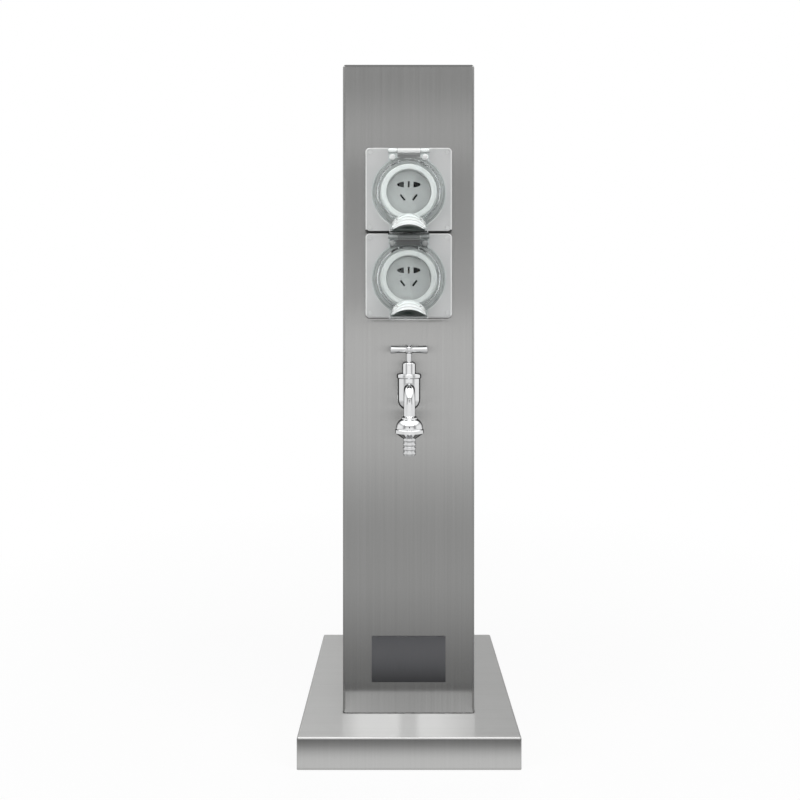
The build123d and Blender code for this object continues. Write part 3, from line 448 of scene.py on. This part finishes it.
# closed skin over loops whose last one meets the first, as on a sleeve
def skinSleeve(mesh, loops):
    rows = addRows(mesh, loops)
    for low, high in zip(rows, rows[1:] + rows[:1]):
        joinRows(mesh, low, high)


almostZero = 1e-6


# round bar along a line of points
def skinTube(mesh, points, radius, sides=10):
    loops = []
    for index, point in enumerate(points):
        before, after = points[max(index - 1, 0)], points[min(index + 1, len(points) - 1)]
        ahead = (after - before).normalized()
        side = ahead.cross(Vector((0, 1, 0)))
        side = side.normalized() if side.length > almostZero else Vector((1, 0, 0))
        lift = ahead.cross(side).normalized()
        loops.append([point + radius * (math.cos(turn) * side + math.sin(turn) * lift)
                      for turn in roundTurns(sides)])
    skinLoops(mesh, loops)


# low arch over a flat base, as points from the left foot over the top to the right foot
def archPoints(width, rise, steps=28):
    radius = (width * width / 4 + rise * rise) / (2 * rise)
    half = math.atan2(width / 2, radius - rise)
    return [(radius * math.sin(half * share), radius * math.cos(half * share) - radius + rise)
            for share in (2 * step / steps - 1 for step in range(steps + 1))]


# Pull hood of the lid, moulded in the CAD: each pair is its back and its front. Heights of lid details
# are from the middle of the frame plate
pullHood = {"base": -0.0413, "width": (0.037, 0.035), "rise": (0.017, 0.0076), "out": (0.0166, 0.0202)}

# Dark piece in the hood's hollow, a painted shade that on the upper lid reaches below the hood: each ring
# is its share of the arch, drawn in towards the middle, and how far out it lies
pullShade = {"base": {"upper": -0.0431, "lower": -0.0413}, "width": 0.0346, "rise": 0.0069, "middle": 0.4,
             "rings": ((1.0, 0.0171), (1.0, 0.0189), (0.93, 0.0194), (0.8, 0.0197), (0.4, 0.0199))}


def makePullShade(unit, plateZ):
    mesh = bmesh.new()
    arch = archPoints(pullShade["width"], pullShade["rise"])
    middle = pullShade["rise"] * pullShade["middle"]
    base = plateZ + pullShade["base"][unit] + middle
    skinLoops(mesh, [[at(x * share, out, base + (z - middle) * share) for x, z in arch]
                     for share, out in pullShade["rings"]])
    addLidPiece("pullShade", unit, mesh, "pullShade")


# Painted highlight: a white piece behind the hood's dome
pullHighlight = {"lift": 0.0004, "width": (0.031, 0.026), "rise": (0.0164, 0.0084), "out": (0.0140, 0.0178),
            "shares": (0.0, 0.34, 0.67, 1.0)}


def makePullHighlight(unit, plateZ):
    mesh = bmesh.new()
    base = plateZ + pullHood["base"] + pullHighlight["lift"]
    loops = []
    for share in pullHighlight["shares"]:
        width, rise, out = (between(pullHighlight[key], share) for key in ("width", "rise", "out"))
        loops.append([at(x, out, base + z) for x, z in archPoints(width, rise)])
    skinLoops(mesh, loops)
    addLidPiece("pullHighlight", unit, mesh, "whiteHighlight")


# Grip ribs over the hood, milky white as a painted highlight: places run from its back to its front, trim
# is how many points they end short
pullRibs = {"places": (0.12, 0.45, 0.78), "radius": 0.00042, "trim": 3}


def makePullRibs(unit, plateZ):
    mesh = bmesh.new()
    for place in pullRibs["places"]:
        width, rise, out = (between(pullHood[key], place) for key in ("width", "rise", "out"))
        points = [at(x, out, plateZ + pullHood["base"] + z) for x, z in archPoints(width, rise)]
        skinTube(mesh, points[pullRibs["trim"]:-pullRibs["trim"]], pullRibs["radius"])
    addLidPiece("pullRibs", unit, mesh, "milkyHighlight")


# Hinge: the pin's height and the finish of what sits round it, a painted highlight on the upper unit and a
# painted shade on the lower
hinge = {"rise": 0.0382, "finish": {"upper": "milkyHighlight", "lower": "hingeShadeGrey"}}

# Round knobs on the lid's neck, below the hinge: shares run from the foot of the dome to its top
hingeKnobs = {"spacing": 0.0324, "drop": 0.0068, "radius": 0.0031, "out": (0.0128, 0.0149),
              "shares": (0.0, 0.25, 0.5, 0.7, 0.85, 0.96), "sides": 24}


def makeHingeKnobs(unit, plateZ):
    mesh = bmesh.new()
    height = plateZ + hinge["rise"] - hingeKnobs["drop"]
    for side in (-1, 1):
        loops = []
        for share in hingeKnobs["shares"]:
            radius = hingeKnobs["radius"] * math.sqrt(1 - share * share)
            out = between(hingeKnobs["out"], share)
            loops.append([at(side * hingeKnobs["spacing"] / 2 + radius * math.cos(turn), out,
                             height + radius * math.sin(turn)) for turn in roundTurns(hingeKnobs["sides"])])
        skinLoops(mesh, loops)
    addLidPiece("hingeKnobs", unit, mesh, hinge["finish"][unit])


# Sleeves on the hinge pin, one at each side of the middle knuckle
hingeSleeves = {"radii": (0.00115, 0.00205), "reach": (0.0118, 0.0201), "out": 0.0116, "sides": 28,
                "bevel": 0.0001}


def makeHingeSleeves(unit, plateZ):
    mesh = bmesh.new()
    inner, outer = hingeSleeves["radii"]
    near, far = hingeSleeves["reach"]
    for side in (-1, 1):
        skinSleeve(mesh, [[at(side * x, hingeSleeves["out"] + radius * math.cos(turn),
                              plateZ + hinge["rise"] + radius * math.sin(turn))
                           for turn in roundTurns(hingeSleeves["sides"])]
                          for x, radius in ((near, inner), (near, outer), (far, outer), (far, inner))])
    softenEdges(addLidPiece("hingeSleeves", unit, mesh, hinge["finish"][unit]), hingeSleeves["bevel"])


# Painted highlights: milky lines where the clear wall is seen edge-on, beside the latch tab, and along the
# rim in degrees
lidGlints = {"tabHalf": 0.0187, "tabOut": 0.0124, "tabReach": (-0.0431, -0.0370), "tabSteps": 6,
            "tabTube": 0.00035, "rimRadius": 0.0366, "rimOut": 0.0109, "rimTube": 0.00032, "rimSteps": 24,
            "rimArcs": {-1: (-152, -122), 1: (-58, -28)}}


def makeLidGlints(unit, plateZ, lidZ):
    mesh = bmesh.new()
    steps, radius = lidGlints["rimSteps"], lidGlints["rimRadius"]
    for side, arc in lidGlints["rimArcs"].items():
        heights = [plateZ + between(lidGlints["tabReach"], step / lidGlints["tabSteps"])
                   for step in range(lidGlints["tabSteps"] + 1)]
        skinTube(mesh, [at(side * lidGlints["tabHalf"], lidGlints["tabOut"], height) for height in heights],
                 lidGlints["tabTube"])
        turns = [math.radians(between(arc, step / steps)) for step in range(steps + 1)]
        skinTube(mesh, [at(radius * math.cos(turn), lidGlints["rimOut"], lidZ + radius * math.sin(turn))
                        for turn in turns], lidGlints["rimTube"])
    addLidPiece("lidGlints", unit, mesh, "milkyHighlight")


# Painted shade: a thin dark sheet on the plate below the hinge, seen through the lid's neck
hingeShadeSheet = {
    "out": (0.00896, 0.00915), "bevel": 0.00006,
    "upper": {"half": 0.0112, "low": 0.0326, "high": 0.0350, "finish": "paleShade"},
    "lower": {"half": 0.0186, "low": 0.0262, "high": 0.0356, "finish": "darkShade"},
}


def makeHingeShadeSheet(unit, plateZ):
    mesh = bmesh.new()
    place = hingeShadeSheet[unit]
    half, low, high = place["half"], place["low"], place["high"]
    corners = ((-half, low), (half, low), (half, high), (-half, high))
    skinLoops(mesh, [[at(x, out, plateZ + z) for x, z in corners] for out in hingeShadeSheet["out"]])
    made = addPiece(f"hingeShadeSheet_{unit}", mesh, place["finish"], "post", smooth=False)
    softenEdges(made, hingeShadeSheet["bevel"])


for unit in units:
    plateLow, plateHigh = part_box(f"frame_plate_{unit}")
    collarLow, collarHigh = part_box(f"collar_{unit}")
    plateZ, lidZ = (plateLow.z + plateHigh.z) / 2, (collarLow.z + collarHigh.z) / 2
    makePullShade(unit, plateZ)
    makePullHighlight(unit, plateZ)
    makePullRibs(unit, plateZ)
    makeHingeKnobs(unit, plateZ)
    makeHingeSleeves(unit, plateZ)
    makeLidGlints(unit, plateZ, lidZ)
    makeHingeShadeSheet(unit, plateZ)
    print("lid details added:", unit)


# Stage. What is only for mirrors shows in reflections and nowhere else
def addStage(name, mesh, material, onlyMirrored=True):
    made = addObject(name, mesh, material)
    if onlyMirrored:
        material.cycles.emission_sampling = "NONE"
        made.visible_camera = made.visible_diffuse = False
        made.visible_shadow = made.visible_transmission = False


# open sheet of faces over rows of equal length
def sheetFaces(mesh, rows):
    return [mesh.faces.new(corners) for low, high in zip(rows, rows[1:])
            for corners in zip(low, low[1:], high[1:], high)]


# Pale floor that fades to white between fadeStart and fadeEnd from the post, with a shadow near it
floorLook = {"half": 14.0, "tone": 0.93, "toneSpan": 0.02, "roughness": 0.9, "gloss": 0.1,
             "speckScale": 40.0, "nearShadow": 0.1, "fadeStart": 0.3, "fadeEnd": 0.9}


def makeFloor():
    mesh = bmesh.new()
    half, tone = floorLook["half"], floorLook["tone"]
    corners = ((-half, -half), (half, -half), (half, half), (-half, half))
    mesh.faces.new([mesh.verts.new((x, y, 0)) for x, y in corners])
    material, tree = startFinish("paleFloor")
    speck = noiseAt(tree, objectPlace(tree), scale=floorLook["speckScale"])
    colour = tintBetween(tree, speck, (tone,) * 3, (tone + floorLook["toneSpan"],) * 3)
    shader = solidShader(tree, colour, floorLook["roughness"], Specular_IOR_Level=floorLook["gloss"])
    place = addNode(tree, "ShaderNodeTexCoord").outputs["Object"]
    reach = addNode(tree, "ShaderNodeVectorMath", {0: place}, operation="LENGTH").outputs["Value"]
    fade = rangeOf(tree, reach, 1 - floorLook["nearShadow"], 1.0,
                   floorLook["fadeStart"], floorLook["fadeEnd"])
    white = mathOf(tree, "MULTIPLY", seenRays(tree), fade)
    showSurface(tree, mixShaders(tree, white, shader, glowShader(tree, 1.0)))
    addStage("floor", mesh, material, onlyMirrored=False)


# Square tent of soft panels: half width and height of each ring in metres, and how bright the metal sees
# it from the front and from the other three sides
panelRings = (
    (0.108, 0.0007, 1.15, 1.05), (0.122, 0.0007, 1.1, 1.0), (0.132, 0.0007, 0.82, 0.80),
    (0.142, 0.0007, 0.36, 0.42), (0.152, 0.0007, 0.19, 0.30), (0.18, 0.0007, 0.37, 0.38),
    (0.214, 0.0007, 0.40, 0.41), (0.255, 0.0007, 0.47, 0.48), (0.35, 0.0007, 0.62, 0.60),
    (0.47, 0.0007, 0.73, 0.70), (0.63, 0.0007, 0.71, 0.68), (0.84, 0.0007, 0.70, 0.66),
    (1.15, 0.0007, 0.82, 0.78), (1.63, 0.0007, 1.0, 0.95), (2.5, 0.0007, 1.12, 1.05),
    (2.5, 0.20, 1.13, 1.05), (2.5, 0.40, 1.17, 1.1), (2.5, 0.50, 1.11, 1.1), (2.5, 0.62, 1.05, 1.1),
    (2.5, 0.77, 1.02, 1.12), (2.5, 0.93, 0.875, 1.14), (2.5, 1.16, 0.825, 1.12), (2.5, 1.32, 0.83, 1.02),
    (2.5, 1.42, 0.89, 0.94), (2.5, 1.50, 0.90, 0.88), (2.5, 1.60, 0.70, 0.82), (2.5, 1.70, 0.52, 0.80),
    (2.5, 1.92, 0.60, 0.85), (2.5, 2.15, 1.8, 1.2), (2.5, 2.50, 3.4, 1.8), (2.2, 2.60, 3.4, 2.0),
    (0.9, 2.70, 2.9, 2.6), (0.001, 2.70, 2.8, 2.8),
)
# places across each panel, and how bright they are: the corners are dimmer
panelWidths = ((-1.0, 0.45), (-0.78, 0.55), (-0.6, 0.92), (-0.4, 1.05),
               (0.4, 1.05), (0.6, 0.92), (0.78, 0.55), (1.0, 0.45))
# the rear panel is dimmer above rearFrom, and over leanReach it grows brighter to one side
tent = {"rearQuarter": 2, "rearShare": 0.56, "rearFrom": 0.7, "rearLean": 0.22, "leanReach": 0.5,
        "cornersFrom": 0.01}


def glowMaterial(name):
    material, tree = startFinish(name)
    strength = addNode(tree, "ShaderNodeAttribute", attribute_name="glow").outputs["Fac"]
    return material, tree, glowShader(tree, strength)


def panelGlow(quarter, x, height, levels, side):
    frontLevel, sideLevel = levels
    level = sideLevel if quarter else frontLevel
    if quarter == tent["rearQuarter"]:
        level *= 1.0 - tent["rearLean"] * max(-1.0, min(1.0, x / tent["leanReach"]))
        level *= tent["rearShare"] if height > tent["rearFrom"] else 1.0
    return level * (side if height > tent["cornersFrom"] else 1.0)


def makePanels():
    mesh = bmesh.new()
    glow = mesh.verts.layers.float.new("glow")
    for quarter in range(4):
        turn = quarter * math.pi / 2
        rows = []
        for half, height, *levels in panelRings:
            row = []
            for share, side in panelWidths:
                x, y = share * half, -half
                vert = mesh.verts.new((x * math.cos(turn) - y * math.sin(turn),
                                       x * math.sin(turn) + y * math.cos(turn), height))
                vert[glow] = panelGlow(quarter, vert.co.x, height, levels, side)
                row.append(vert)
            rows.append(row)
        sheetFaces(mesh, rows)
    material, tree, lit = glowMaterial("softPanels")
    showSurface(tree, lit)
    addStage("softPanels", mesh, material)


# Cards that show only from the side they face: dark ones round the tap and, far in front, for the lids,
# and pale ones at the top and where the column and the cover mirror each other. Columns are places across
# and their glow; rows are places out and up, and the share of that glow
cards = {
    "tapCardBack": {"faces": (0, -1, 0), "columns": ((-0.058, 0.045), (0.058, 0.045)),
                    "rows": ((0.0004, 0.262, 1.0), (0.0004, 0.4275, 1.0))},
    "tapCardAbove": {"faces": (0, 0, -1),
                     "columns": ((-0.040, 0.07), (-0.010, 0.07), (-0.004, 0.5),
                                 (0.004, 0.5), (0.010, 0.07), (0.040, 0.07)),
                     "rows": ((0.022, 0.4275, 1.0), (0.050, 0.4275, 1.0))},
    "topCard": {"faces": (0, 0, -1), "columns": ((-0.0665, 0.5), (0.0665, 0.5)),
                "rows": ((-0.0050, 0.6862, 1.0), (0.0065, 0.6862, 1.0))},
    "lidFlag": {"faces": (0, 1, 0), "columns": ((-0.15, 0.04), (0.15, 0.04)),
                "rows": ((2.33, 0.56, 1.0), (2.33, 1.26, 1.0))},
    "footCard": {"faces": (0, -1, 0),
                 "columns": ((-0.0664, 1.06), (-0.050, 1.54), (-0.012, 1.58), (-0.006, 1.18), (0.006, 1.18),
                             (0.012, 1.58), (0.030, 1.54), (0.052, 1.27), (0.0664, 1.08)),
                 "rows": ((0.00095, 0.0306, 1.0), (0.00095, 0.13, 1.0), (0.00095, 0.20, 0.5))},
    "coverCard": {"faces": (0, 0, 1),
                  "columns": ((-0.067, 0.98), (-0.045, 0.90), (0.0, 0.80), (0.067, 0.86)),
                  "rows": ((0.0006, 0.0307, 1.0), (0.0393, 0.0307, 0.9))},
}


def makeCards():
    material, tree, lit = glowMaterial("reflectionCard")
    behind = addNode(tree, "ShaderNodeNewGeometry").outputs["Backfacing"]
    clear = addNode(tree, "ShaderNodeBsdfTransparent").outputs[0]
    showSurface(tree, mixShaders(tree, behind, lit, clear))
    for name, card in cards.items():
        mesh = bmesh.new()
        glow = mesh.verts.layers.float.new("glow")
        rows = []
        for out, z, share in card["rows"]:
            row = []
            for x, level in card["columns"]:
                row.append(mesh.verts.new(at(x, out, z)))
                row[-1][glow] = level * share
            rows.append(row)
        for face in sheetFaces(mesh, rows):
            face.normal_update()
            if face.normal.dot(Vector(card["faces"])) < 0:
                face.normal_flip()
        addStage(name, mesh, material)


worldLevel = 0.26  # how much light the white surroundings give, though they look fully white


def makeWorld():
    world = bpy.data.worlds.new("whiteStudio")
    bpy.context.scene.world = world
    world.use_nodes = True
    tree = world.node_tree
    tree.nodes.clear()
    strength = rangeOf(tree, seenRays(tree), worldLevel, 1.0)
    shader = addNode(tree, "ShaderNodeBackground", {"Color": (1, 1, 1, 1), "Strength": strength})
    addNode(tree, "ShaderNodeOutputWorld", {"Surface": shader.outputs[0]})


makeFloor()
makePanels()
makeCards()
makeWorld()
print("stage set: floor, panels,", len(cards), "cards and white surroundings")

# Soft lamps, all aimed at one point above the foot
lampAim = Vector((0, 0, 0.3))
lamps = {
    "leftSoftbox": {"at": (-1.7, -0.9, 0.9), "size": (0.9, 1.5), "power": 13.5},
    "rightSoftbox": {"at": (1.7, -0.9, 0.9), "size": (0.9, 1.5), "power": 13.5},
    "topSoftbox": {"at": (0.0, -0.5, 2.2), "size": (1.6, 1.2), "power": 15.0},
    "frontSoftbox": {"at": (-0.4, -2.3, 1.0), "size": (1.0, 1.0), "power": 7.0},
    "rearSoftbox": {"at": (0.3, 2.0, 1.5), "size": (1.6, 1.0), "power": 12.0},
}


def makeLamps():
    for name, lamp in lamps.items():
        data = bpy.data.lights.new(name, "AREA")
        data.shape = "RECTANGLE"
        data.size, data.size_y = lamp["size"]
        data.energy = lamp["power"]
        made = bpy.data.objects.new(name, data)
        made.location = lamp["at"]
        made.rotation_euler = (lampAim - made.location).to_track_quat("-Z", "Y").to_euler()
        made.visible_camera = False
        made.visible_glossy = False
        bpy.context.scene.collection.objects.link(made)


# Level camera, with the picture shifted: middle and horizon are pixels of a picture this many across
cameraPlace = {"at": (-0.00797, -0.7018, 0.4021), "lens": 28.35, "sensor": 36.0, "picture": 800.0,
               "middle": 400.7, "horizon": 344.5, "clip": (0.02, 60.0)}


def makeCamera():
    data = bpy.data.cameras.new("camera")
    data.lens, data.sensor_width = cameraPlace["lens"], cameraPlace["sensor"]
    data.shift_x = (cameraPlace["picture"] / 2 - cameraPlace["middle"]) / cameraPlace["picture"]
    data.shift_y = (cameraPlace["horizon"] - cameraPlace["picture"] / 2) / cameraPlace["picture"]
    data.clip_start, data.clip_end = cameraPlace["clip"]
    made = bpy.data.objects.new("camera", data)
    made.location = cameraPlace["at"]
    made.rotation_euler = (math.pi / 2, 0, 0)
    bpy.context.scene.collection.objects.link(made)
    bpy.context.scene.camera = made


makeLamps()
makeCamera()
bpy.context.scene.view_settings.view_transform = "Standard"
print("lamps and camera set")
